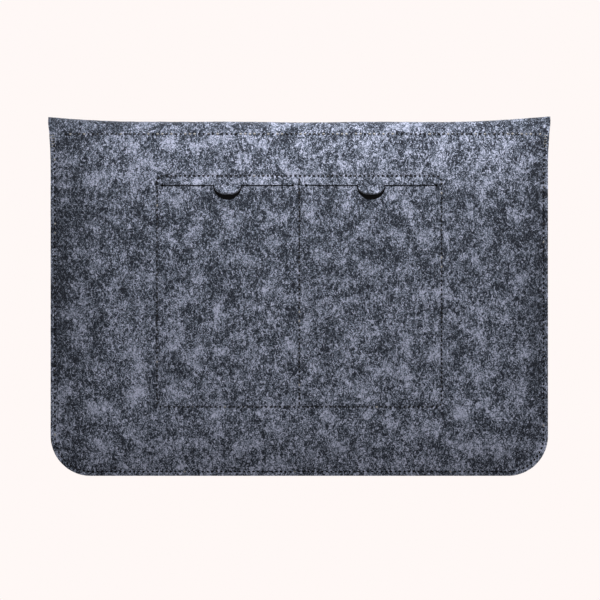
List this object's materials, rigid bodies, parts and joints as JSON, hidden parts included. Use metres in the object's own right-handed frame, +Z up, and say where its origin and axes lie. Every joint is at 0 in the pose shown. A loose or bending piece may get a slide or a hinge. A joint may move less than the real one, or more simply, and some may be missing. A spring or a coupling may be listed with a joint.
{
  "type": "laptop sleeve",
  "caption": "Upright felt laptop sleeve with a fold-over flap, hook-and-loop pads and slit pockets with thumb notches on its back.",
  "frame": {"origin": "under the middle of the sleeve, on the surface that its bottom edge stands on", "axes": "+X to the right of someone looking at the pocket side, +Y through the thickness from the pocket side to the flap, +Z up to the top fold"},
  "size_m": [0.35, 0.0274, 0.2506],
  "materials": {
    "heather_felt": "needled heather felt, matt and fuzzy",
    "flannel_lining": "brushed flannel, matt",
    "pocket_fabric": "thin plain weave, matt",
    "hook_tape": "woven tape with fine stiff hooks",
    "loop_tape": "woven tape with a soft looped pile",
    "sewing_thread": "spun polyester thread, slight sheen"
  },
  "bodies": {
    "sleeve_body": {"back_panel": "heather_felt", "front_panel": "heather_felt", "back_lining": "flannel_lining", "front_lining": "flannel_lining", "pocket_bag": "pocket_fabric", "loop_pad_left": "loop_tape", "loop_pad_right": "loop_tape", "loop_pad_stitching_left": "sewing_thread", "loop_pad_stitching_right": "sewing_thread", "pocket_outline_stitching": "sewing_thread", "pocket_divider_stitching": "sewing_thread", "lining_hem_stitching": "sewing_thread", "mouth_hem_stitching": "sewing_thread", "side_seam_stitching": "sewing_thread", "bar_tack_left": "sewing_thread", "bar_tack_right": "sewing_thread"},
    "top_strip": {"top_strip": "heather_felt", "rear_crease": "heather_felt"},
    "flap": {"flap_panel": "heather_felt", "front_crease": "heather_felt", "hook_pad_left": "hook_tape", "hook_pad_right": "hook_tape", "hook_pad_stitching_left": "sewing_thread", "hook_pad_stitching_right": "sewing_thread"},
    "tongue_left": {"tongue_left": "heather_felt"},
    "tongue_right": {"tongue_right": "heather_felt"}
  },
  "joints": [
    {"name": "rear_fold", "type": "hinge", "parent": "sleeve_body", "child": "top_strip", "pos_m": [0, -0.00878, 0.24443], "axis": [1, 0, 0], "range_deg": [0, 90], "deforming": ["rear_crease"]},
    {"name": "front_fold", "type": "hinge", "parent": "top_strip", "child": "flap", "pos_m": [0, 0.00938, 0.24443], "axis": [1, 0, 0], "range_deg": [0, 90], "deforming": ["front_crease"]},
    {"name": "tongue_lift_left", "type": "hinge", "parent": "sleeve_body", "child": "tongue_left", "pos_m": [-0.05, -0.01365, 0.20285], "axis": [-1, 0, 0], "range_deg": [0, 40], "stiffness_Nm_per_rad": 0.0003},
    {"name": "tongue_lift_right", "type": "hinge", "parent": "sleeve_body", "child": "tongue_right", "pos_m": [0.05, -0.01365, 0.20285], "axis": [-1, 0, 0], "range_deg": [0, 40], "stiffness_Nm_per_rad": 0.0003}
  ]
}
